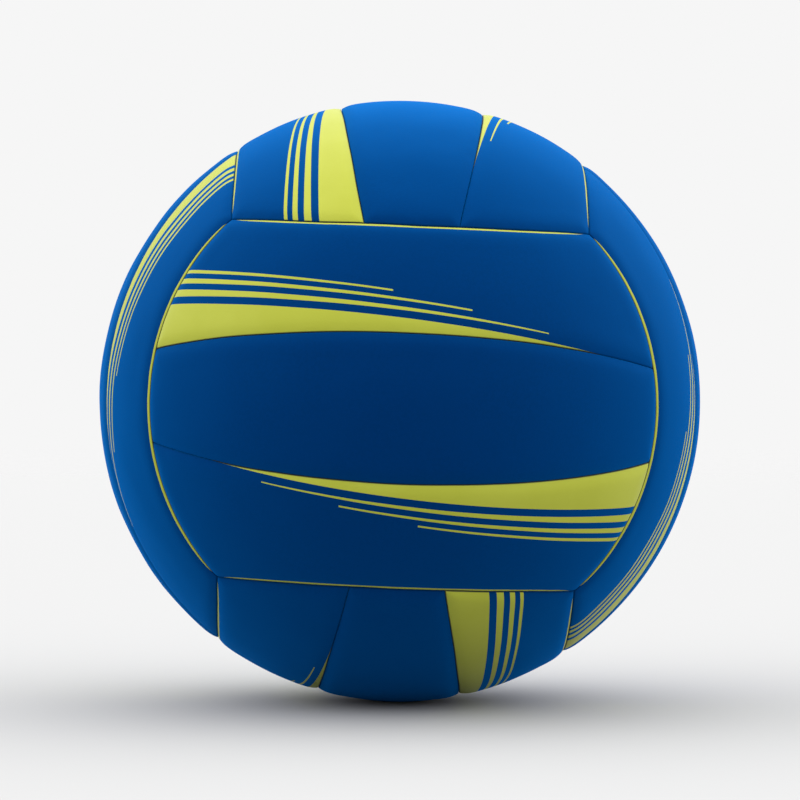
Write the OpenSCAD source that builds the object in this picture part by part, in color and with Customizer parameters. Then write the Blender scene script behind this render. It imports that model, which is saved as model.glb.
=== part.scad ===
// Indoor volleyball with eighteen sewn cover panels over a rubber bladder.
// Six groups of three parallel strips wrap the ball, and each group is turned a quarter
// turn against its neighbours. Every panel is a cover skin with turned-in edges, a foam pad
// and a cloth lining. The origin is the centre of the ball, the front group faces -Y, and
// the valve stands in the middle of the back group, on the +Y axis.

/* [Ball] */
// Diameter over the crests of the panels
ball_d = 210; // [205:0.5:215]

/* [Panels] */
// Width of a middle strip at the middle of its length, seam to seam
mid_w = 49.7; // [44:0.1:56]
// Width of a middle strip at its two ends
mid_end_w = 31.8; // [28:0.1:36]
// Thickness of the cover skin
skin_t = 0.8; // [0.6:0.1:1.2]
// Thickness of the foam pad
foam_t = 3; // [2:0.1:4]
// Thickness of the cloth lining
lining_t = 0.5; // [0.3:0.1:0.8]
// Play between two layers that lie on each other
layer_gap = 0.05; // [0.02:0.01:0.1]

/* [Seams] */
// Gap between the two turned-in edges of a seam
seam_gap = 0.2; // [0.1:0.05:0.4]
// Length of a turned-in edge beyond the lining, where it is sewn
edge_l = 1.75; // [1.5:0.05:2.5]
// Width of the shoulder that rolls down to a seam along a strip
side_roll_w = 4; // [3.8:0.1:5]
// Radius of that shoulder
side_roll_r = 9; // [8.5:0.5:12]
// Width of the shoulder at the two ends of a strip
end_roll_w = 3.5; // [3:0.1:3.6]
// Radius of that shoulder
end_roll_r = 8; // [6:0.5:8]
// Diameter of the sewing thread
thread_d = 0.6; // [0.4:0.05:0.8]
// Clear length between the end of a run of thread and the next seam
thread_stop = 3; // [2:0.5:6]

/* [Bladder] */
// Thickness of the bladder wall
bladder_t = 0.8; // [0.6:0.1:1.2]
// Play between the bladder and the seam edges that press on it
bladder_gap = 0.2; // [0.1:0.05:0.3]

/* [Valve] */
// Outer diameter of the valve housing's neck
neck_d = 9; // [8:0.1:10]
// Clearance around the neck in the cover, on the diameter
neck_clear = 0.4; // [0.2:0.1:0.8]
// Depth of the neck's rim below the crest of the panel
rim_drop = 1; // [0.6:0.1:2]
// Diameter of the housing's flange inside the bladder
flange_d = 26; // [20:1:32]
// Thickness of that flange
flange_t = 1.2; // [0.8:0.1:2]
// Length of the housing from its rim to its inner end
housing_l = 16; // [14:0.5:20]
// Diameter of the valve core's head
head_d = 6.6; // [6:0.1:7]
// Thickness of the head
head_t = 1.4; // [1:0.1:2]
// Depth of the head's face below the rim of the neck
head_drop = 0.3; // [0.1:0.1:0.6]
// Diameter of the core's shank
shank_d = 4.8; // [4.4:0.1:5.2]
// Diameter of the core's bulb
bulb_d = 5.8; // [5.4:0.1:6.2]
// Length of the bulb
bulb_l = 4.3; // [3:0.1:5]
// Length of the core from the face of its head to its tip
core_l = 13; // [11:0.5:14]
// Play between the core and its housing
core_gap = 0.05; // [0.02:0.01:0.1]
// Diameter of the guide hole for the inflating needle
needle_d = 2; // [1.8:0.1:2.2]
// Length of the straight guide hole
needle_l = 8; // [6:0.5:9]
// Mouth diameter of the funnel that leads the needle in
funnel_d = 3.4; // [3:0.1:4]
// Diameter of the reinforcing patch behind the cover
patch_d = 30; // [24:1:34]
// Thickness of the patch
patch_t = 0.5; // [0.3:0.1:0.8]

/* [Hidden] */
$fa = 3;
$fs = 0.4;

// Each group: its name and its strips. In the drawing frame the strips run along X, lie side
// by side along Y and face +Z.
GROUPS = [
    ["front", ["lower", "middle", "upper"]],
    ["back", ["lower", "middle", "upper"]],
    ["left", ["front", "middle", "rear"]],
    ["right", ["rear", "middle", "front"]],
    ["top", ["right", "middle", "left"]],
    ["bottom", ["left", "middle", "right"]]
];
// The angles that turn the drawing frame to each group's place on the ball, in that order
GROUP_ANGLES = [[90, 0, 0], [90, 0, 180], [0, -90, 0], [180, -90, 0], [0, 0, 90], [180, 0, 90]];
SIDES = [-1, 0, 1];
LAYERS = ["cover", "foam", "lining"];
function panel_name(layer, group, side) = str(layer, "_", group[0], "_", group[1][side + 1]);

// Distances of the layers from the centre of the ball
ball_r = ball_d/2;
skin_in = ball_r - skin_t;
foam_out = skin_in - layer_gap;
foam_in = foam_out - foam_t;
lining_out = foam_in - layer_gap;
lining_in = lining_out - lining_t;
edge_in = lining_in - edge_l;
bladder_out = edge_in - bladder_gap;
bladder_in = bladder_out - bladder_t;

// The three groups that meet at a corner of the ball are alike, so each seam between groups
// lies on a cone whose axis is a row axis and whose slope is that of a cube's diagonal.
corner_a = acos(1/sqrt(3));
corner_angle = 45;
// A seam inside a group lies in a plane, tilted so that the strip narrows to its ends.
mid_r = sqrt(pow(ball_r, 2) - pow(mid_w/2, 2));
end_r = ball_r*cos(corner_a);
tilt_a = atan((mid_w - mid_end_w)/2/(mid_r - end_r));
plane_d = mid_w/2*cos(tilt_a) - mid_r*sin(tilt_a);
plane_a = acos(plane_d/ball_r);
// Half of the turn that such a seam takes about the axis of its plane
plane_turn = acos((end_r + plane_d*sin(tilt_a))/(ball_r*sin(plane_a)*cos(tilt_a)));
// Where it meets the end of its strips, as a turn about the axis of the group
junction_turn = asin(mid_end_w/2/(ball_r*sin(corner_a)));

SIDE_ROLL = [side_roll_w, side_roll_r];
END_ROLL = [end_roll_w, end_roll_r];
// A shoulder's arc starts this share of its radius proud of the panel, so that the two
// surfaces cross.
lift_share = 1/450;
// Half turns that reach past the ends of every strip and every seam inside a group
strip_angle = 62;
cut_angle = 75;
reach = 1.3*ball_r;
overrun = skin_t;

// Runs of thread lie against the turned-in edges, half way between the lining and the tips.
thread_r = (lining_in + edge_in)/2;
thread_off = seam_gap/2 + skin_t + layer_gap + thread_d/2;
thread_stop_turn = thread_stop/(thread_r*sin(corner_a))*180/PI;

// Heights of the valve, measured from the centre of the ball
rim = ball_r - rim_drop;
housing_end = rim - housing_l;
head_face = rim - head_drop;
head_base = head_face - head_t;
core_tip = head_face - core_l;
bulb_top = core_tip + bulb_l;
funnel_end = head_face - (funnel_d - needle_d)/2;
guide_end = funnel_end - needle_l;

// What is cut away between a rolled shoulder and the seam beside it, in a half plane whose
// Y axis is the axis of the seam. keep is 1 where the panel lies at the larger polar angles
// and -1 where it lies at the smaller ones. inset is the depth below the cover's surface.
module beyond_shoulder(seam_a, inset, keep, roll) {
    arc_r = roll[1];
    turn = (roll[0] + seam_gap/2)/ball_r*180/PI;
    rotate(-(seam_a + keep*turn))
        translate([0, ball_r - arc_r + arc_r*lift_share])
            mirror([keep > 0 ? 1 : 0, 0])
                difference() {
                    square(2*arc_r);
                    circle(arc_r - inset);
                }
}

// All that lies beyond a seam between two groups, with the shoulder.
module beyond_cone(inset, keep) {
    wall = seam_gap/2 + inset;
    apex = -keep*wall/sin(corner_a);
    far = [reach*sin(corner_a), apex + reach*cos(corner_a)];
    if (keep > 0)
        polygon([[0, apex], far, [0, reach]]);
    else
        polygon([[0, apex], far, [2*reach, far[1]], [2*reach, -reach], [0, -reach]]);
    beyond_shoulder(corner_a, inset, keep, keep > 0 ? SIDE_ROLL : END_ROLL);
}

// All that lies beyond a seam inside a group, with the shoulder.
module beyond_plane(inset, keep) {
    wall = plane_d - keep*(seam_gap/2 + inset);
    translate([0, keep > 0 ? wall : wall - reach])
        square(reach);
    beyond_shoulder(plane_a, inset, keep, SIDE_ROLL);
}

// Turns a profile about the Y axis, over the part of a turn that faces +Z.
module turn_facing_up(half_turn) {
    rotate([-90, 0, 0])
        rotate([0, 0, -90 - half_turn])
            rotate_extrude(angle = 2*half_turn)
                children();
}

// The section of a strip across its length, before its inner seams are cut.
module strip_profile(side, inset, r_in, r_out) {
    low = side == 0 ? -mid_w/2 : 0;
    high = side == 0 ? mid_w/2 : ball_r;
    difference() {
        intersection() {
            circle(r_out);
            translate([0, low])
                square([reach, high - low]);
        }
        circle(r_in);
        if (side != 0)
            beyond_cone(inset, 1);
    }
}

module strip_space(side, inset, r_in, r_out) {
    difference() {
        turn_facing_up(strip_angle)
            strip_profile(side, inset, r_in, r_out);
        rotate([0, 0, 90])
            rotate_extrude()
                beyond_cone(inset, -1);
    }
}

module beyond_inner_seam(inset, keep) {
    rotate([-tilt_a, 0, 0])
        turn_facing_up(cut_angle)
            beyond_plane(inset, keep);
}

// The space between two distances from the centre that lies inside a panel's outline.
module panel_space(side, inset, r_in, r_out) {
    mirror([0, side < 0 ? 1 : 0, 0])
        difference() {
            strip_space(abs(side), inset, r_in, r_out);
            beyond_inner_seam(inset, side == 0 ? 1 : -1);
            if (side == 0)
                mirror([0, 1, 0])
                    beyond_inner_seam(inset, 1);
        }
}

// The hole through one layer of the panel that the valve stands in.
module neck_hole(wanted) {
    if (wanted)
        cylinder(h = reach, d = neck_d + neck_clear);
}

module cover(side, at_valve) {
    color("#0b54ae")
        difference() {
            panel_space(side, 0, edge_in, ball_r);
            panel_space(side, skin_t, edge_in - overrun, skin_in);
            neck_hole(at_valve);
        }
}

module foam(side, at_valve) {
    color("ivory")
        difference() {
            panel_space(side, skin_t + layer_gap, foam_in, foam_out);
            neck_hole(at_valve);
        }
}

module lining(side, at_valve) {
    color("gainsboro")
        difference() {
            panel_space(side, skin_t + layer_gap, lining_in, lining_out);
            neck_hole(at_valve);
        }
}

// Turns a profile about the valve's axis. The profile's Y is the distance from the centre.
module turn_about_valve() {
    rotate([-90, 0, 0])
        rotate_extrude()
            children();
}

// The section of a round shell between two distances off the valve's axis.
module shell_ring(r_in, r_out, off_in, off_out) {
    difference() {
        intersection() {
            circle(r_out);
            translate([off_in, 0])
                square([off_out - off_in, reach]);
        }
        circle(r_in);
    }
}

module bladder() {
    color("#2b2b2e")
        turn_about_valve()
            difference() {
                circle(bladder_out);
                circle(bladder_in);
                translate([-reach, -reach])
                    square([reach, 2*reach]);
                square([neck_d/2 + layer_gap, reach]);
            }
}

module valve_housing() {
    flange_out = bladder_in - layer_gap;
    color("#1d1d20")
        turn_about_valve()
            difference() {
                union() {
                    translate([0, housing_end])
                        square([neck_d/2, housing_l]);
                    shell_ring(flange_out - flange_t, flange_out, 0, flange_d/2);
                }
                translate([0, head_base - core_gap])
                    square([head_d/2 + core_gap, reach]);
                translate([0, housing_end - overrun])
                    square([shank_d/2 + core_gap, reach]);
                translate([0, housing_end - overrun])
                    square([bulb_d/2 + core_gap, bulb_top + core_gap - housing_end + overrun]);
            }
}

module valve_core() {
    color("#3a3a3e")
        turn_about_valve()
            difference() {
                union() {
                    translate([0, head_base])
                        square([head_d/2, head_t]);
                    translate([0, bulb_top - overrun])
                        square([shank_d/2, head_base - bulb_top + 2*overrun]);
                    polygon([
                        [0, core_tip],
                        [shank_d/3, core_tip],
                        [bulb_d/2, core_tip + bulb_l/2],
                        [bulb_d/2, bulb_top],
                        [0, bulb_top]
                    ]);
                }
                translate([0, guide_end])
                    square([needle_d/2, reach]);
                polygon([
                    [0, funnel_end],
                    [needle_d/2, funnel_end],
                    [funnel_d/2, head_face],
                    [0, head_face]
                ]);
            }
}

module valve_patch() {
    patch_out = lining_in - layer_gap;
    color("silver")
        turn_about_valve()
            shell_ring(patch_out - patch_t, patch_out, (neck_d + neck_clear)/2, patch_d/2);
}

// The runs along the two seams inside a group, on the side of each that keep names.
module inner_runs(keep) {
    off = plane_d - keep*thread_off;
    for (turn = [0, 180])
        rotate([0, 0, turn])
            rotate([-tilt_a, 0, 0])
                turn_facing_up(plane_turn - thread_stop_turn)
                    translate([sqrt(pow(thread_r, 2) - pow(off, 2)), off])
                        circle(d = thread_d);
}

// A run beside the seam at one end of a group, between two turns about the group's axis.
module end_run(keep, from_turn, to_turn) {
    rotate([0, 0, from_turn])
        rotate_extrude(angle = to_turn - from_turn)
            rotate(-corner_a)
                translate([keep*thread_off, thread_r])
                    circle(d = thread_d);
}

// The needle thread lies inside the ends of the strips, one run to a panel, and in the outer
// strips along the inner seams.
module needle_thread() {
    half = junction_turn - thread_stop_turn;
    color("white")
        for (angles = GROUP_ANGLES)
            rotate(angles) {
                inner_runs(-1);
                for (turn = [0, 180])
                    rotate([0, 0, turn]) {
                        end_run(-1, -half, half);
                        for (side = [0, 1])
                            mirror([0, side, 0])
                                end_run(
                                    -1,
                                    junction_turn + thread_stop_turn,
                                    corner_angle - thread_stop_turn
                                );
                    }
            }
}

// The bobbin thread lies inside the long sides of the neighbouring group's strips, and in
// the middle strips along the inner seams.
module bobbin_thread() {
    half = corner_angle - thread_stop_turn;
    color("lightgray")
        for (angles = GROUP_ANGLES)
            rotate(angles) {
                inner_runs(1);
                for (turn = [0, 180])
                    rotate([0, 0, turn])
                        end_run(1, -half, half);
            }
}

for (i = [0:len(GROUPS) - 1])
    rotate(GROUP_ANGLES[i])
        for (side = SIDES) {
            group = GROUPS[i];
            at_valve = group[0] == "back" && side == 0;
            cover(side, at_valve);
            foam(side, at_valve);
            lining(side, at_valve);
        }
bladder();
valve_housing();
valve_core();
valve_patch();
needle_thread();
bobbin_thread();
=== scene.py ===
import math

import bpy
import numpy as np
from mathutils import Matrix, Vector


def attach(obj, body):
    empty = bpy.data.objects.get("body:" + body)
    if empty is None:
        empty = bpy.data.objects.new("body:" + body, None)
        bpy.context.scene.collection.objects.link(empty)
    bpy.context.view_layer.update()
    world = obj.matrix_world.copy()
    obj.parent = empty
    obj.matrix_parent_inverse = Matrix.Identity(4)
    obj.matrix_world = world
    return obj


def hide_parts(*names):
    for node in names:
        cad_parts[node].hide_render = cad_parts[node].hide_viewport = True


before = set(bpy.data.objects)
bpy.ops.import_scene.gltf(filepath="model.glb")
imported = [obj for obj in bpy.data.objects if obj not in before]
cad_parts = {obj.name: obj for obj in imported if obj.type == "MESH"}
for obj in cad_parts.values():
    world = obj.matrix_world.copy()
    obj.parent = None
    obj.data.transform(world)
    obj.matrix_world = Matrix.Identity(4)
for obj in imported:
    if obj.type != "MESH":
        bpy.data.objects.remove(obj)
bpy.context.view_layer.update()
scene = bpy.context.scene
scene.view_settings.view_transform = "Standard"

MM = 0.001

# The sizes of part.scad, in millimetres
BALL_R = 105.0
MID_W, MID_END_W = 49.7, 31.8
SKIN_T, LINING_T, LAYER_GAP, SEAM_GAP = 0.8, 0.5, 0.05, 0.2
LINING_IN, EDGE_IN = 100.6, 98.85
SIDE_ROLL, END_ROLL = (4.0, 9.0), (3.5, 8.0)
NECK_D, NECK_CLEAR, RIM_DROP = 9.0, 0.4, 1.0
FLANGE_D, FLANGE_T, HOUSING_L, FLANGE_OUT = 26.0, 1.2, 16.0, 97.8
HEAD_D, HEAD_T, HEAD_DROP = 6.6, 1.4, 0.3
SHANK_D, BULB_D, BULB_L, CORE_L, CORE_GAP = 4.8, 5.8, 4.3, 13.0, 0.05
NEEDLE_D, NEEDLE_L, FUNNEL_D = 2.0, 8.0, 3.4

# Each group: its name, the turn that takes the drawing frame to the ball, and its strips
GROUPS = [
    ("front", (90, 0, 0), ("lower", "middle", "upper")),
    ("back", (90, 0, 180), ("lower", "middle", "upper")),
    ("left", (0, -90, 0), ("front", "middle", "rear")),
    ("right", (180, -90, 0), ("rear", "middle", "front")),
    ("top", (0, 0, 90), ("right", "middle", "left")),
    ("bottom", (180, 0, 90), ("left", "middle", "right")),
]

# The seams: between groups a cone, whose half angle is CORNER, and inside a group a plane that
# TILT turns about the strip's length, so that a middle strip is MID_W wide in its middle and
# MID_END_W at its ends
CORNER = math.acos(1 / math.sqrt(3))
MID_R = math.sqrt(BALL_R**2 - (MID_W / 2) ** 2)
END_R = BALL_R * math.cos(CORNER)
TILT = math.atan((MID_W - MID_END_W) / 2 / (MID_R - END_R))
PLANE_D = MID_W / 2 * math.cos(TILT) - MID_R * math.sin(TILT)
PLANE_A = math.acos(PLANE_D / BALL_R)
# How long a strip is, and how wide a middle and a side strip are
STRIP_L = 2 * BALL_R * CORNER
STRIP_W = (MID_W, BALL_R * (math.pi / 2 - CORNER) - MID_W / 2)

# Rows of points: their distances from a piece's edge, and their steps along and across its
# middle. EDGE_ROUNDS is how often a point is moved until it lies on its row
FINE_EDGE = (0, 0.06, 0.16, 0.3, 0.5, 0.75, 1.1, 1.55, 2.1, 2.8, 3.6, 4.6, 5.8)
FINE_STEPS = 1.5, 1.3
ROUGH_EDGE = (0, 0.6, 1.6, 3.2)
ROUGH_STEPS = 4.0, 3.6
EDGE_ROUNDS = 14
# Round the valve a block of quads gives way to laps: half its width in radii of the hole, and
# how far off the hole each lap lies, as a share
HOLE_BLOCK = 2.1
LAP_SHARES = (0.84, 0.68, 0.53, 0.4, 0.29, 0.2, 0.13, 0.08, 0.045, 0.02, 0.0)

# How soft the cover rolls down to a seam: a wide arc mixed with the solid's own shoulder
WIDE_ROLL, WIDE_SHARE = (7.5, 30.0), 0.45
LIP_R, HOLE_LIP_R = 0.35, 0.4
# The cover's relief: the pad's swell, the pucker beside a seam, and the dimple round the valve
SWELL, SWELL_LENGTH, SWELL_REACH, SWELL_POWER = 0.16, 26.0, 9.0, 1.5
PUCKER, PUCKER_LENGTH, PUCKER_AT, PUCKER_REACH = 0.06, 7.0, 1.4, 1.7
DIMPLE, DIMPLE_REACH = 0.35, 2.4
# How far sewing has moved the seams sideways, and over what length
WANDER, WANDER_LENGTH = 0.08, 26.0
# Seeds of the noise: one for each axis of the seams' drift, and a panel's own for its relief.
# Then how many waves the noise adds up, and how far their lengths differ
WANDER_SEEDS = 11, 12, 13
SWELL_SEED, GROUP_SEEDS, PUCKER_SEED = 100, 7, 60
WAVE_COUNT, WAVE_SPREAD = 16, (0.75, 1.35)
# Where a cover's wall bends on its way in, and how its turned-in edge is rounded off
WALL_R, EDGE_ROUND_OUT, EDGE_ROUND_IN = 102.2, 0.3, 0.4
# Room under the skin, over a pad, and round the valve in a pad
UNDER_ROOM, PAD_ROOM, PAD_SETBACK = 0.1, 0.3, 1.0
# Stands for a distance that is too long to matter, and for every value on a piece's underside
FAR = 99.0
# How many millimetres 1 is in the value lean. FAR there is past the end of every band, so the
# underside and the wall of the valve's hole take the print's colour
LEAN_UNIT = 100.0
# A turned profile's point nearer the axis than this lies on it
ON_AXIS = 1e-6
# The most of an edge that one rounded corner takes
ROUND_SHARE = 0.45


def turn_matrix(degrees_xyz):
    """OpenSCAD's rotate([x, y, z]) as a 3 by 3 array."""
    x, y, z = (math.radians(d) for d in degrees_xyz)
    return np.array(
        Matrix.Rotation(z, 3, "Z") @ Matrix.Rotation(y, 3, "Y") @ Matrix.Rotation(x, 3, "X")
    )


def waves(points, length, seed):
    """Smooth noise from -1 to 1 with about that wavelength, the same at the same point."""
    rng = np.random.default_rng(seed)
    direction = rng.normal(size=(WAVE_COUNT, 3))
    direction /= np.linalg.norm(direction, axis=1)[:, None]
    k = direction * (2 * math.pi / length) * rng.uniform(*WAVE_SPREAD, (WAVE_COUNT, 1))
    phase = rng.uniform(0, 2 * math.pi, WAVE_COUNT)
    return np.clip(np.sin(points @ k.T + phase).sum(1) / math.sqrt(WAVE_COUNT), -1, 1)


def rows(edge, middle_step, width):
    """Shares from 0 to 1 across width, close together at both ends."""
    edge = np.array(edge)
    inner = width - 2 * edge[-1]
    middle = edge[-1] + np.linspace(0, inner, max(3, round(inner / middle_step)) + 1)[1:-1]
    return np.concatenate([edge, middle, width - edge[::-1]]) / width


def strip_rows(edge, steps, side):
    """Rows along a strip, from -1 to 1, and across it, from 0 to 1."""
    return rows(edge, steps[0], STRIP_L) * 2 - 1, rows(edge, steps[1], STRIP_W[abs(side)])


def inner_latitude(turn, angle):
    """Latitudes, at those turns about Y, of the circle at that angle from a tilted plane's axis."""
    a, b = math.cos(TILT), np.cos(turn) * math.sin(TILT)
    return np.arctan2(b, a) + np.arcsin(math.cos(angle) / np.hypot(a, b))


def strip_directions(side, inset, us, vs):
    """Unit vectors over one strip's outline, in the drawing frame, for side 0 or 1."""
    off = (SEAM_GAP / 2 + inset) / BALL_R
    u, v = np.meshgrid(us, vs, indexing="ij")
    lat = np.zeros_like(u)
    for _ in range(EDGE_ROUNDS):
        turn = u * np.arccos(math.cos(CORNER - off) / np.cos(lat))
        if side:
            low, high = inner_latitude(turn, PLANE_A - off), math.pi / 2 - CORNER - off
        else:
            high = inner_latitude(turn, PLANE_A + off)
            low = -high
        lat = low + (high - low) * v
    return np.stack([np.cos(lat) * np.sin(turn), np.sin(lat), np.cos(lat) * np.cos(turn)], -1)


def angle_of(cosine):
    """The angle, also where rounding has put the cosine a little past 1."""
    return np.arccos(np.clip(cosine, -1, 1))


def seam_distances(points, side):
    """Distances in mm to a strip's inner and outer seam and to its ends, and the points upright."""
    upright = points * ((1, -1, 1) if side < 0 else (1, 1, 1))
    x, y, z = upright[:, 0], upright[:, 1], upright[:, 2]
    ends = BALL_R * (CORNER - angle_of(z))
    tilted = angle_of(y * math.cos(TILT) - z * math.sin(TILT))
    if side:
        inner = BALL_R * (PLANE_A - tilted)
        outer = BALL_R * (angle_of(y) - CORNER)
    else:
        mirrored = angle_of(-y * math.cos(TILT) - z * math.sin(TILT))
        inner = BALL_R * (tilted - PLANE_A)
        outer = BALL_R * (mirrored - PLANE_A)
    return (inner, outer, ends), upright


def arc_drop(distance, roll, depth):
    """How far a shoulder of that width and radius, for a sheet at that depth, drops to a seam."""
    width, radius = roll
    x = np.clip(width + SEAM_GAP / 2 - distance, 0, radius - depth)
    return radius - np.sqrt((radius - depth) ** 2 - x**2) - depth


def together(drops, power=4):
    """A smooth greatest of several drops."""
    return sum(np.maximum(d, 0) ** power for d in drops) ** (1 / power)


def roll_drop(distances, depth):
    """How far a cover's soft shoulders drop, for a sheet at that depth."""
    rolls = (SIDE_ROLL, SIDE_ROLL, END_ROLL)
    narrow = together([arc_drop(d, r, depth) for d, r in zip(distances, rolls)])
    wide = together([arc_drop(d, WIDE_ROLL, depth) for d in distances])
    return narrow * (1 - WIDE_SHARE) + wide * WIDE_SHARE


def lip_drop(distance, edge, radius):
    """How far a rounded edge drops."""
    x = np.clip(radius + edge - distance, 0, radius)
    return radius - np.sqrt(radius**2 - x**2)


def bell(distance, middle, reach):
    """1 at the middle, and near 0 beyond the reach."""
    return np.exp(-(((distance - middle) / reach) ** 2))


class Sheet:
    """Directions over a strip, with quads between them, its outline, and a hole for the valve."""

    def __init__(self, side, inset, us, vs, hole_r=0.0):
        p = strip_directions(abs(side), inset, us, vs)
        nu, nv = p.shape[:2]
        index = np.arange(nu * nv).reshape(nu, nv)
        points = p.reshape(-1, 3)
        quads = np.stack([index[:-1, :-1], index[1:, :-1], index[1:, 1:], index[:-1, 1:]], -1)
        self.outline = self.loop(index, 0, nu - 1, 0, nv - 1)
        self.hole = None
        if hole_r:
            i = np.flatnonzero(np.abs(us) * STRIP_L / 2 < HOLE_BLOCK * hole_r)
            j = np.flatnonzero(np.abs(vs - 0.5) * MID_W < HOLE_BLOCK * hole_r)
            keep = np.ones(quads.shape[:2], bool)
            keep[i[0] : i[-1], j[0] : j[-1]] = False
            ring = self.loop(index, i[0], i[-1], j[0], j[-1])
            points, laps, self.hole = self.laps_to_hole(points, ring, hole_r)
            quads = np.concatenate([quads[keep], *laps])
        self.quads = quads.reshape(-1, 4)
        self.mirrored = side < 0
        self.points = points * (1, -1, 1) if self.mirrored else points

    @staticmethod
    def loop(index, i0, i1, j0, j1):
        """The points once round a block of the grid."""
        return np.concatenate(
            [index[i0:i1, j0], index[i1, j0:j1], index[i1:i0:-1, j1], index[i0, j1:j0:-1]]
        )

    @staticmethod
    def laps_to_hole(points, ring, hole_r):
        """Laps of quads from a ring of the points in to a round hole about +Z."""
        start = points[ring]
        azimuth = np.arctan2(start[:, 1], start[:, 0])
        polar = np.arccos(start[:, 2])
        laps = []
        for share in 1 - np.array(LAP_SHARES):
            a = polar + (hole_r / BALL_R - polar) * share
            inner = len(points) + np.arange(len(ring))
            lap = [np.sin(a) * np.cos(azimuth), np.sin(a) * np.sin(azimuth), np.cos(a)]
            points = np.concatenate([points, np.stack(lap, -1)])
            laps.append(np.stack([ring, np.roll(ring, -1), np.roll(inner, -1), inner], -1))
            ring = inner
        return points, laps, ring


def wander(points):
    """Where sewing has put a seam: a slow sideways drift that neighbours share."""
    drift = np.stack([waves(points, WANDER_LENGTH, seed) for seed in WANDER_SEEDS], -1) * WANDER
    normal = points / np.linalg.norm(points, axis=1)[:, None]
    return points + drift - normal * (drift * normal).sum(1)[:, None]


def drifted(directions, turn):
    """Where the seams' drift takes a panel's directions, in the drawing frame."""
    m = turn_matrix(turn)
    moved = wander(directions * BALL_R @ m.T) @ m
    return moved / np.linalg.norm(moved, axis=1)[:, None]


def smooth_piece(name, points, faces, materials):
    """A smooth mesh as an object in the scene."""
    mesh = bpy.data.meshes.new(name)
    mesh.from_pydata(points, [], faces)
    for material in materials:
        mesh.materials.append(material)
    mesh.polygons.foreach_set("use_smooth", np.ones(len(faces), bool))
    mesh.update()
    piece = bpy.data.objects.new(name, mesh)
    scene.collection.objects.link(piece)
    return piece


def shell_piece(name, turn, top, top_r, bottom, bottom_r, walls, values, materials):
    """A closed piece between two sheets. walls lists the loops between their outlines, each
    with its sheet and its radius. values holds the numbers that the top's points carry. The
    first material is for the top and the walls, the second for the bottom."""
    count = len(top.points)
    parts = [top.points * top_r[:, None], bottom.points * bottom_r[:, None]]
    quads = [top.quads, bottom.quads[:, ::-1] + count]
    kinds = [np.zeros(len(top.quads)), np.ones(len(bottom.quads))]
    source = [np.arange(count), np.full(len(bottom.points), -1)]
    total = count + len(bottom.points)
    ring = top.outline
    for sheet, radius in walls:
        parts.append(sheet.points[sheet.outline] * radius)
        following = total + np.arange(len(ring))
        quads.append(np.stack([ring, following, np.roll(following, -1), np.roll(ring, -1)], -1))
        kinds.append(np.zeros(len(ring)))
        source.append(top.outline)
        total += len(ring)
        ring = following
    last = bottom.outline + count
    quads.append(np.stack([ring, last, np.roll(last, -1), np.roll(ring, -1)], -1))
    kinds.append(np.zeros(len(ring)))
    if top.hole is not None:
        a, b = top.hole, bottom.hole + count
        quads.append(np.stack([a, np.roll(a, -1), np.roll(b, -1), b], -1))
        kinds.append(np.zeros(len(a)))
    points = wander(np.concatenate(parts) @ turn_matrix(turn).T)
    quads = np.concatenate(quads)
    if top.mirrored:
        quads = quads[:, ::-1]
    used, flat = np.unique(quads, return_inverse=True)
    faces = flat.reshape(quads.shape).tolist()
    piece = smooth_piece(name, (points[used] * MM).tolist(), faces, materials)
    mesh = piece.data
    mesh.polygons.foreach_set("material_index", np.concatenate(kinds).astype(np.int32))
    source = np.concatenate(source)[used]
    for key, numbers in values.items():
        layer = mesh.attributes.new(key, "FLOAT", "POINT")
        layer.data.foreach_set("value", np.append(numbers, FAR)[source].astype(np.float32))
    mesh.update()
    return piece


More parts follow.
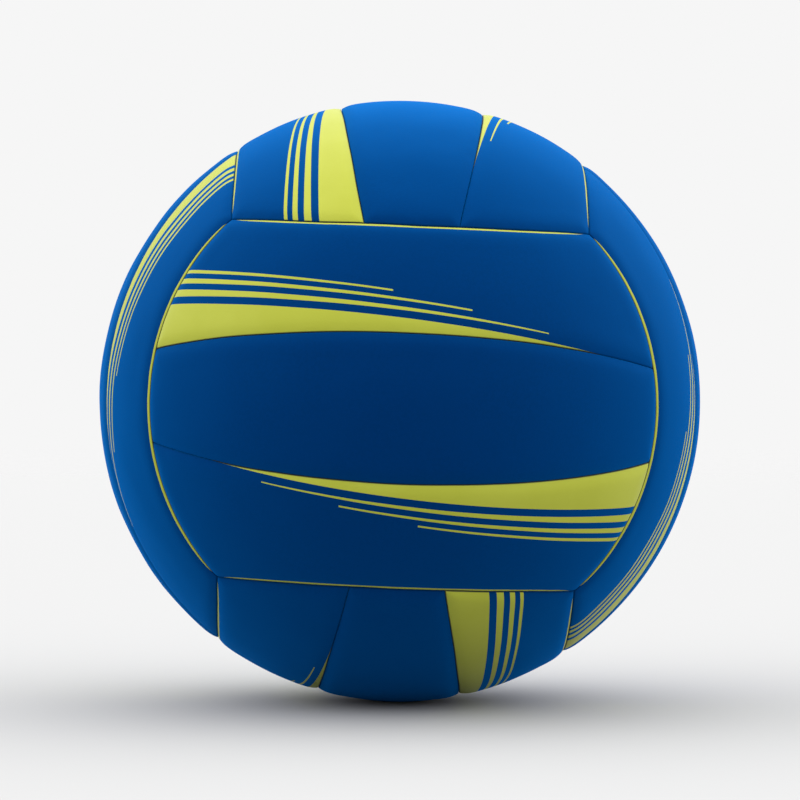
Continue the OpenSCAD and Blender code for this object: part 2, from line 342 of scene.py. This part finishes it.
def make_panel(group, side, material):
    """One cover panel: a skin with rolled shoulders, a fine relief and turned-in edges."""
    name, turn, strips = group
    at_valve = name == "back" and side == 0
    hole_r = (NECK_D + NECK_CLEAR) / 2 if at_valve else 0
    us, vs = strip_rows(FINE_EDGE, FINE_STEPS, side)
    top = Sheet(side, 0, us, vs, hole_r)
    under = Sheet(side, SKIN_T, us, vs, hole_r)
    distances, upright = seam_distances(top.points, side)
    under_distances, under_upright = seam_distances(under.points, side)
    nearest = np.minimum.reduce(distances)
    at = top.points * BALL_R
    seed = SWELL_SEED + GROUP_SEEDS * GROUPS.index(group) + side
    swell = SWELL * (1 - waves(at, SWELL_LENGTH, seed)) / 2
    pucker = PUCKER * (1 - waves(at, PUCKER_LENGTH, seed + PUCKER_SEED)) / 2
    drop = roll_drop(distances, 0)
    drop += together([lip_drop(d, SEAM_GAP / 2, LIP_R) for d in distances])
    drop += swell * np.clip(nearest / SWELL_REACH, 0, 1) ** SWELL_POWER
    drop += pucker * bell(nearest, PUCKER_AT, PUCKER_REACH)
    under_r = BALL_R - SKIN_T - roll_drop(under_distances, SKIN_T) - UNDER_ROOM
    if at_valve:
        off = BALL_R * angle_of(upright[:, 2])
        under_off = BALL_R * angle_of(under_upright[:, 2])
        drop += DIMPLE * bell(off, hole_r, DIMPLE_REACH) + lip_drop(off, hole_r, HOLE_LIP_R)
        under_r -= DIMPLE * bell(under_off, hole_r, DIMPLE_REACH)
    walls = [
        (top, WALL_R),
        (top, EDGE_IN + EDGE_ROUND_OUT),
        (top, EDGE_IN),
        (under, EDGE_IN),
        (under, EDGE_IN + EDGE_ROUND_IN),
    ]
    (inner, outer, _), upright = seam_distances(drifted(top.points, turn), side)
    along = BALL_R * np.arctan2(upright[:, 0], upright[:, 2])
    far = np.full(len(along), FAR)
    values = {
        "along": along,
        "lean": -along * side / LEAN_UNIT,
        "from_inner": inner if side else far,
        "from_long": outer if side else far,
        "from_seam": nearest,
    }
    strip = f"{name}_{strips[side + 1]}"
    piece = shell_piece(
        f"panel_{strip}", turn, top, BALL_R - drop, under, under_r, walls, values, [material] * 2
    )
    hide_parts(f"cover_{strip}")
    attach(piece, "root")


def make_pad(group, side, materials):
    """One foam pad with its lining: a closed piece, foam outside and lining inside."""
    name, turn, strips = group
    at_valve = name == "back" and side == 0
    hole_r = (NECK_D + NECK_CLEAR) / 2 + PAD_SETBACK if at_valve else 0
    inset = SKIN_T + LAYER_GAP
    top = Sheet(side, inset, *strip_rows(ROUGH_EDGE, ROUGH_STEPS, side), hole_r)
    distances, _ = seam_distances(top.points, side)
    top_r = BALL_R - inset - roll_drop(distances, inset) - PAD_ROOM
    bottom_r = np.full(len(top.points), LINING_IN)
    walls = [(top, LINING_IN + LINING_T)]
    strip = f"{name}_{strips[side + 1]}"
    piece = shell_piece(f"pad_{strip}", turn, top, top_r, top, bottom_r, walls, {}, materials)
    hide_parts(f"foam_{strip}", f"lining_{strip}")
    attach(piece, "root")


def rounded(profile, radius, steps=4):
    """A closed profile with its corners rounded. Points on the axis stay as they are."""
    points = [Vector(p) for p in profile]
    made = []
    for i, p in enumerate(points):
        if p.x < ON_AXIS:
            made.append(p)
            continue
        before, after = points[i - 1] - p, points[(i + 1) % len(points)] - p
        r = min(radius, ROUND_SHARE * before.length, ROUND_SHARE * after.length)
        a, b = before.normalized() * r, after.normalized() * r
        for k in range(steps + 1):
            t = k / steps
            made.append(p + a * (1 - t) ** 2 + b * t**2)
    return made


def lathe(name, profile, material, around=96):
    """Turns a profile of (off the valve's axis, from the ball's centre) about +Y."""
    verts, faces, rings = [], [], []
    on_axis = [p.x < ON_AXIS for p in profile]
    for p, single in zip(profile, on_axis):
        rings.append(len(verts))
        for k in range(1 if single else around):
            a = 2 * math.pi * k / around
            verts.append((p.x * math.cos(a) * MM, p.y * MM, -p.x * math.sin(a) * MM))
    for i in range(len(profile)):
        j = (i + 1) % len(profile)
        if on_axis[i] and on_axis[j]:
            continue
        for k in range(around):
            a = [rings[i] + (0 if on_axis[i] else m % around) for m in (k, k + 1)]
            b = [rings[j] + (0 if on_axis[j] else m % around) for m in (k, k + 1)]
            if on_axis[i]:
                faces.append((a[0], b[1], b[0]))
            elif on_axis[j]:
                faces.append((a[0], a[1], b[0]))
            else:
                faces.append((a[0], a[1], b[1], b[0]))
    return smooth_piece(name, verts, faces, [material])


class Nodes:
    """A material's or world's nodes, with short calls to add and link them."""

    def __init__(self, owner):
        owner.use_nodes = True
        self.tree = owner.node_tree
        self.tree.nodes.clear()

    def put(self, value, socket):
        """Links the value where it is a node's output, and sets it where it is not."""
        if isinstance(value, bpy.types.NodeSocket):
            self.tree.links.new(value, socket)
        else:
            socket.default_value = value

    def add(self, kind, inputs=None, **settings):
        node = self.tree.nodes.new("ShaderNode" + kind)
        for key, value in settings.items():
            setattr(node, key, value)
        for key, value in (inputs or {}).items():
            self.put(value, node.inputs[key])
        return node

    def math(self, operation, a, b=None):
        values = {i: v for i, v in enumerate((a, b)) if v is not None}
        return self.add("Math", values, operation=operation).outputs[0]

    def plus(self, *values):
        total = values[0]
        for value in values[1:]:
            total = self.math("ADD", total, value)
        return total

    def times(self, *values):
        total = values[0]
        for value in values[1:]:
            total = self.math("MULTIPLY", total, value)
        return total

    def between(self, value, low, high, to_low=0.0, to_high=1.0):
        """A smooth step from to_low, at low, to to_high, at high."""
        ends = {"From Min": low, "From Max": high, "To Min": to_low, "To Max": to_high}
        step = self.add("MapRange", {"Value": value, **ends}, interpolation_type="SMOOTHSTEP")
        return step.outputs["Result"]

    def mix(self, factor, a, b):
        """A colour from a, at 0, to b, at 1."""
        node = self.add("Mix", data_type="RGBA")
        for value, socket in zip((factor, a, b), (node.inputs[0], *node.inputs[6:8])):
            self.put(value, socket)
        return node.outputs[2]

    def noise(self, where, scale, detail, **inputs):
        values = {"Vector": where, "Scale": scale, "Detail": detail, **inputs}
        return self.add("TexNoise", values).outputs["Fac"]

    def attribute(self, name):
        return self.add("Attribute", attribute_name=name).outputs["Fac"]

    def bump(self, height, strength, distance):
        values = {"Strength": strength, "Distance": distance, "Height": height}
        return self.add("Bump", values).outputs["Normal"]

    def mix_shaders(self, factor, a, b):
        return self.add("MixShader", {0: factor, 1: a.outputs[0], 2: b.outputs[0]})

    def sees_background(self):
        """1 for the rays that meet the pale background: the camera's, transmitted and glossy."""
        rays = self.add("LightPath").outputs
        sees = self.math("MAXIMUM", rays["Is Camera Ray"], rays["Is Transmission Ray"])
        return self.math("MAXIMUM", sees, rays["Is Glossy Ray"])

    def surface(self, shader, output="OutputMaterial"):
        self.add(output, {"Surface": shader.outputs[0]})


def linear(*srgb):
    """A colour given as 0 to 255 values, for a colour socket."""
    shares = [c / 255 for c in srgb]
    return (*(s / 12.92 if s < 0.04045 else ((s + 0.055) / 1.055) ** 2.4 for s in shares), 1.0)


# The cover's colours: two of each, which soft clouds of noise mix, with fine blue specks
BLUES, BLUE_SPECK = (linear(0, 30, 85), linear(0, 33, 90)), linear(0, 34, 93)
LIMES = linear(203, 210, 68), linear(207, 214, 74)
CLOUD_SCALE, CLOUD_DETAIL, CLOUD_ROUGHNESS = 38.0, 4.0, 0.55
SPECK_SCALE, SPECK_DETAIL, SPECK_ROUGHNESS = 900.0, 2.0, 0.6
# Between which values of the noise the colours change over
WIDE_STEP, NARROW_STEP = (0.3, 0.7), (0.35, 0.65)
# The painted shade in a seam's crease: its darker colour, and between which distances from the seam
# it fades, in millimetres
CREASE_SHADE_COLOUR, CREASE_SHADE_REACH = linear(0, 20, 54), (0.1, 0.5)
# The relief in the material: a cell grain, a finer grain and the print's thickness, each with
# its share of the height, then how strong it is, and how deep, in metres
GRAIN_SCALE, GRAIN_RANDOMNESS, GRAIN_SHARE = 1500.0, 0.9, 0.7
FINE_SCALE, FINE_DETAIL, FINE_SHARE = 2600.0, 3.0, 0.5
PRINT_SHARE = 0.6
RELIEF_STRENGTH, RELIEF_DEPTH = 0.35, 0.00006
# How rough the cover is, from and to, and how much smoother the print is
ROUGHNESS, PRINT_SMOOTHER = (0.56, 0.64), 0.04
# The skin's nap shines blue towards the ball's outline, and the print is a thin ink
SKIN_FINISH = {
    "Specular IOR Level": 0.01,
    "Sheen Weight": 0.9,
    "Sheen Roughness": 0.69,
    "Sheen Tint": (0.0, 0.29, 1.0, 1.0),
}
INK_FINISH = {
    "Specular IOR Level": 0.2,
    "Sheen Weight": 0.25,
    "Sheen Roughness": 0.5,
    "Sheen Tint": (0.9, 1.0, 0.75, 1.0),
}

# The band beside an inner seam, in millimetres: how far from the strip's middle its point is,
# how far from there it would reach its full width, that width, and the power it widens with
BAND_START, BAND_L, BAND_W, BAND_POWER = 74.0, 174.0, 15.0, 1.35
# The stripes beside a band: the gap before each, its full width, and the share of the band's
# length at which it starts
STRIPES = [(2.6, 2.6, 0.14), (2.2, 1.9, 0.3), (1.9, 1.3, 0.46)]
# The fine line beside a long seam: half its length, its width, and how late it narrows
HAIR_HALF_L, HAIR_W, HAIR_POWER = 80.0, 1.15, 6.0


def print_mask(n):
    """1 on the printed bands, stripes and fine lines of the cover, and 0 beside them."""
    along, lean, inner, long_side = (
        n.attribute(a) for a in ("along", "lean", "from_inner", "from_long")
    )
    share = n.math("DIVIDE", n.plus(n.times(lean, LEAN_UNIT), BAND_START), BAND_L)
    share = n.math("MAXIMUM", share, 0.0)
    edge = n.times(n.math("POWER", share, BAND_POWER), BAND_W)
    mask = n.math("LESS_THAN", inner, edge)
    for gap, stripe_w, start in STRIPES:
        near = n.plus(edge, gap)
        edge = n.plus(near, n.times(share, stripe_w))
        inside = n.times(n.math("GREATER_THAN", inner, near), n.math("LESS_THAN", inner, edge))
        mask = n.math("MAXIMUM", mask, n.times(inside, n.math("GREATER_THAN", share, start)))
    out = n.math("DIVIDE", n.math("ABSOLUTE", along), HAIR_HALF_L)
    left = n.math("SUBTRACT", 1.0, n.math("POWER", out, HAIR_POWER))
    hair_w = n.times(n.math("SQRT", n.math("MAXIMUM", left, 0.0)), HAIR_W)
    return n.math("MAXIMUM", mask, n.math("LESS_THAN", long_side, hair_w))


def cover_material():
    """Matte soft-touch cover: blue, with plain lime bands printed beside the seams."""
    material = bpy.data.materials.new("soft_touch_cover")
    n = Nodes(material)
    where = n.add("TexCoord").outputs["Object"]
    printed = print_mask(n)
    cloud = n.noise(where, CLOUD_SCALE, CLOUD_DETAIL, Roughness=CLOUD_ROUGHNESS)
    speck = n.noise(where, SPECK_SCALE, SPECK_DETAIL, Roughness=SPECK_ROUGHNESS)
    blue = n.mix(n.between(cloud, *WIDE_STEP), *BLUES)
    blue = n.mix(n.between(speck, *NARROW_STEP), blue, BLUE_SPECK)
    lime = n.mix(n.between(cloud, *NARROW_STEP), *LIMES)
    # Painted shade: the cover's colour darkens towards each seam's crease
    crease_shade = n.between(n.attribute("from_seam"), *CREASE_SHADE_REACH)
    cells = {"Vector": where, "Scale": GRAIN_SCALE, "Randomness": GRAIN_RANDOMNESS}
    grain = n.times(n.add("TexVoronoi", cells).outputs["Distance"], GRAIN_SHARE)
    fine = n.times(n.noise(where, FINE_SCALE, FINE_DETAIL), FINE_SHARE)
    height = n.plus(grain, fine, n.times(printed, PRINT_SHARE))
    normal = n.bump(height, RELIEF_STRENGTH, RELIEF_DEPTH)
    rough = n.between(speck, *WIDE_STEP, *ROUGHNESS)
    rough = n.plus(rough, n.times(printed, -PRINT_SMOOTHER))
    skin, ink = (
        n.add(
            "BsdfPrincipled",
            {
                # The base colour carries the painted shade in the seams' creases
                "Base Color": n.mix(crease_shade, CREASE_SHADE_COLOUR, colour),
                "Roughness": rough,
                "Normal": normal,
                **finish,
            },
        )
        for colour, finish in ((blue, SKIN_FINISH), (lime, INK_FINISH))
    )
    n.surface(n.mix_shaders(printed, skin, ink))
    return material


# For the other materials: how strong the relief is, the finer noise's scale against the
# relief's, its detail, and how far the roughness strays to either side
PLAIN_STRENGTH, FINER, FINER_DETAIL, STRAY = 0.5, 2, 2.0, 0.05


def plain_material(name, low, high, cloud, roughness, specular, relief, depth, weave=0.0):
    """A moulded, foamed or woven finish: two near colours in clouds, and a fine relief. cloud,
    relief and weave are scales, and depth is the relief's, in metres."""
    material = bpy.data.materials.new(name)
    n = Nodes(material)
    where = n.add("TexCoord").outputs["Object"]
    clouds = n.noise(where, cloud, CLOUD_DETAIL)
    colour = n.mix(n.between(clouds, *NARROW_STEP), linear(*low), linear(*high))
    if weave:
        threads = {"Vector": where, "Scale": weave}
        x, y, z = (
            n.add("TexWave", threads, bands_direction=axis).outputs["Fac"] for axis in "XYZ"
        )
        height = n.plus(n.times(x, y), z)
    else:
        cells = {"Vector": where, "Scale": relief}
        height = n.add("TexVoronoi", cells).outputs["Distance"]
    fine = n.noise(where, relief * FINER, FINER_DETAIL)
    height = n.plus(height, n.times(fine, FINE_SHARE))
    finish = {
        "Base Color": colour,
        "Roughness": n.between(fine, *WIDE_STEP, roughness - STRAY, roughness + STRAY),
        "Specular IOR Level": specular,
        "Normal": n.bump(height, PLAIN_STRENGTH, depth),
    }
    n.surface(n.add("BsdfPrincipled", finish))
    return material


cover = cover_material()
foam = plain_material(
    "cell_foam", (226, 220, 196), (236, 231, 212), 120, 0.85, 0.2, 2200, 0.00012
)
lining = plain_material(
    "woven_lining", (214, 214, 210), (226, 226, 222), 200, 0.8, 0.25, 1800, 0.00006, weave=420
)
patch_cloth = plain_material(
    "patch_cloth", (176, 178, 180), (190, 191, 193), 200, 0.75, 0.3, 1800, 0.00008, weave=360
)
neck_rubber = plain_material(
    "neck_rubber", (24, 25, 27), (33, 34, 36), 300, 0.55, 0.4, 3000, 0.00002
)
core_rubber = plain_material(
    "core_rubber", (52, 53, 56), (62, 63, 66), 300, 0.6, 0.35, 2600, 0.00003
)
bladder_rubber = plain_material(
    "bladder_rubber", (30, 30, 32), (42, 42, 44), 60, 0.5, 0.45, 1200, 0.00005
)
thread_fibre = plain_material(
    "thread_fibre", (232, 232, 228), (244, 244, 240), 400, 0.7, 0.3, 4000, 0.00005, weave=900
)

for group in GROUPS:
    for side in (-1, 0, 1):
        make_panel(group, side, cover)
        make_pad(group, side, [foam, lining])

# The valve's heights above the ball's centre
rim = BALL_R - RIM_DROP
housing_end = rim - HOUSING_L
head_face = rim - HEAD_DROP
head_base = head_face - HEAD_T
core_tip = head_face - CORE_L
bulb_top = core_tip + BULB_L
funnel_end = head_face - (FUNNEL_D - NEEDLE_D) / 2
guide_end = funnel_end - NEEDLE_L
flange_in = FLANGE_OUT - FLANGE_T
# The bead round the neck's rim: how far it stands out, and how far below the rim its side
# starts, its side ends, and it meets the neck
BEAD, BEAD_SLOPE, BEAD_L, BEAD_END = 0.14, 0.12, 0.75, 1.0
# The rim: how far in its outer edge lies, and how wide and deep the mouth's bevel is
RIM_ROUND, MOUTH_ROUND, MOUTH_L, MOUTH_SLOPE = 0.35, 0.4, 0.35, 0.1
# The groove in the core's face: its edges' distances from the funnel's mouth, and its depth
GROOVE_EDGES, GROOVE_DEPTH = (0.5, 0.62, 0.9, 1.02), 0.14
# How round the corners of the neck and of the core are
NECK_ROUND, CORE_ROUND = 0.3, 0.25


def on_shell(radius, off):
    """A point of the valve's profile that lies at that radius from the ball's centre."""
    return off, math.sqrt(radius**2 - off**2)


def valve_neck_profile():
    """The neck with its bead and flange, and the stepped bore that holds the core."""
    neck_r, head_r = NECK_D / 2, HEAD_D / 2
    bulb_bore, shank_bore, head_bore = (d / 2 + CORE_GAP for d in (BULB_D, SHANK_D, HEAD_D))
    return [
        (neck_r - RIM_ROUND, rim),
        (neck_r + BEAD, rim - BEAD_SLOPE),
        (neck_r + BEAD, rim - BEAD_L),
        (neck_r, rim - BEAD_END),
        on_shell(FLANGE_OUT, neck_r),
        on_shell(FLANGE_OUT, FLANGE_D / 4),
        on_shell(FLANGE_OUT, FLANGE_D / 2),
        on_shell(flange_in, FLANGE_D / 2),
        on_shell(flange_in, FLANGE_D / 4),
        on_shell(flange_in, neck_r),
        (neck_r, housing_end),
        (bulb_bore, housing_end),
        (bulb_bore, bulb_top + CORE_GAP),
        (shank_bore, bulb_top + CORE_GAP),
        (shank_bore, head_base - CORE_GAP),
        (head_bore, head_base - CORE_GAP),
        (head_bore, rim - MOUTH_L),
        (head_r + MOUTH_ROUND - MOUTH_SLOPE, rim - MOUTH_SLOPE),
        (head_r + MOUTH_ROUND, rim),
    ]


def valve_core_profile():
    """The core's head, shank and bulb, with the funnel and the guide hole for the needle."""
    funnel_r = FUNNEL_D / 2
    groove_floor = head_face - GROOVE_DEPTH
    heights = head_face, groove_floor, groove_floor, head_face
    return [
        (0, guide_end),
        (NEEDLE_D / 2, guide_end),
        (NEEDLE_D / 2, funnel_end),
        (funnel_r, head_face),
        *((funnel_r + edge, height) for edge, height in zip(GROOVE_EDGES, heights)),
        (HEAD_D / 2, head_face),
        (HEAD_D / 2, head_base),
        (SHANK_D / 2, head_base),
        (SHANK_D / 2, bulb_top),
        (BULB_D / 2, bulb_top),
        (BULB_D / 2, core_tip + BULB_L / 2),
        (SHANK_D / 3, core_tip),
        (0, core_tip),
    ]


neck = lathe("valve_neck", rounded(valve_neck_profile(), NECK_ROUND), neck_rubber)
plug = lathe("valve_plug", rounded(valve_core_profile(), CORE_ROUND), core_rubber)
for piece, node in ((neck, "valve_housing"), (plug, "valve_core")):
    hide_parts(node)
    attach(piece, "root")

# The solids of the frame that stay, with their materials
KEPT = {
    "bladder": bladder_rubber,
    "valve_patch": patch_cloth,
    "needle_thread": thread_fibre,
    "bobbin_thread": thread_fibre,
}
for node, material in KEPT.items():
    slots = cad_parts[node].data.materials
    for i in range(len(slots)):
        slots[i] = material

# The camera that the photograph was taken with, found from the seams and the outline
FOCAL_PIXELS, PICTURE, SENSOR = 4158.5, 800, 36.0
CAMERA_AT = Vector((-0.02905, -1.45568, 0.03352))
CAMERA_UP = Vector((-0.04002, 0.02380, 0.99892))
CENTRE_X, CENTRE_Y = 399.81, 401.2

lens = bpy.data.cameras.new("camera")
lens.sensor_width = SENSOR
lens.lens = FOCAL_PIXELS / PICTURE * SENSOR
lens.shift_x = (PICTURE / 2 - CENTRE_X) / PICTURE
lens.shift_y = (CENTRE_Y - PICTURE / 2) / PICTURE
camera = bpy.data.objects.new("camera", lens)
back = CAMERA_AT.normalized()
right = CAMERA_UP.cross(back).normalized()
up = back.cross(right)
camera.matrix_world = Matrix(
    [[right[i], up[i], back[i], CAMERA_AT[i]] for i in range(3)] + [[0, 0, 0, 1]]
)
scene.collection.objects.link(camera)
scene.camera = camera

# The floor lies level in the photograph, whose camera was rolled against the ball. It is a
# disc that fades into the background between two distances, in metres. The camera sees it
# lighter than the light that it throws back on the ball
FLOOR_R, FLOOR_SPOKES, FLOOR_FADE = 3.0, 96, (0.9, 2.6)
FLOOR_SEEN, FLOOR_BOUNCE = 0.62, 0.25
PALE = 0.9216

spokes = [2 * math.pi * k / FLOOR_SPOKES for k in range(FLOOR_SPOKES)]
floor_mesh = bpy.data.meshes.new("floor")
floor_mesh.from_pydata(
    [(FLOOR_R * math.cos(a), FLOOR_R * math.sin(a), 0) for a in spokes],
    [],
    [tuple(range(FLOOR_SPOKES))],
)
floor = bpy.data.objects.new("floor", floor_mesh)
scene.collection.objects.link(floor)
floor_up = Vector((up.x, 0, up.z)).normalized()
floor.rotation_mode = "QUATERNION"
floor.rotation_quaternion = floor_up.to_track_quat("Z", "Y")
floor.location = -floor_up * BALL_R * MM

floor_material = bpy.data.materials.new("pale_floor")
n = Nodes(floor_material)
seen, bounce = (
    n.add("BsdfDiffuse", {"Color": (grey, grey, grey, 1)}) for grey in (FLOOR_SEEN, FLOOR_BOUNCE)
)
near = n.mix_shaders(n.sees_background(), bounce, seen)
where = n.add("TexCoord").outputs["Object"]
out = n.add("VectorMath", {0: where}, operation="LENGTH").outputs["Value"]
n.surface(n.mix_shaders(n.between(out, *FLOOR_FADE), near, n.add("BsdfTransparent")))
floor_mesh.materials.append(floor_material)

# The studio's light, by direction: a sky that brightens with height, a soft key from above and
# a little behind, and softer lights from behind and from the two sides. Each has its level, and
# between which parts of a unit direction it sets in
SKY_LEVELS, SKY_RISE = (0.2, 0.8), (-0.2, 0.55)
KEY_LEVEL, KEY_FROM, KEY_POWER = 1.25, (0, 0.45, 0.893), 6.0
BACK_LEVEL, BACK_REACH, BACK_RISE = 0.3, (0.0, 1.0), (-0.2, 0.3)
SIDES_LEVEL, SIDES_REACH, SIDES_RISE = 1.1, (0.2, 0.9), (-0.05, 0.35)

world = bpy.data.worlds.new("studio")
n = Nodes(world)
scene.world = world
facing = n.add("TexCoord").outputs["Generated"]
x, y, z = n.add("SeparateXYZ", {0: facing}).outputs
toward = n.add("VectorMath", {0: facing, 1: KEY_FROM}, operation="DOT_PRODUCT").outputs["Value"]
level = n.plus(
    n.between(z, *SKY_RISE, *SKY_LEVELS),
    n.times(n.math("POWER", n.math("MAXIMUM", toward, 0.0), KEY_POWER), KEY_LEVEL),
    n.times(n.between(y, *BACK_REACH), n.between(z, *BACK_RISE), BACK_LEVEL),
    n.times(n.between(n.math("ABSOLUTE", x), *SIDES_REACH), n.between(z, *SIDES_RISE), SIDES_LEVEL),
)
light = n.add("Background", {"Color": (1, 1, 1, 1), "Strength": level})
backdrop = n.add("Background", {"Color": (PALE, PALE, PALE, 1), "Strength": 1.0})
n.surface(n.mix_shaders(n.sees_background(), light, backdrop), "OutputWorld")
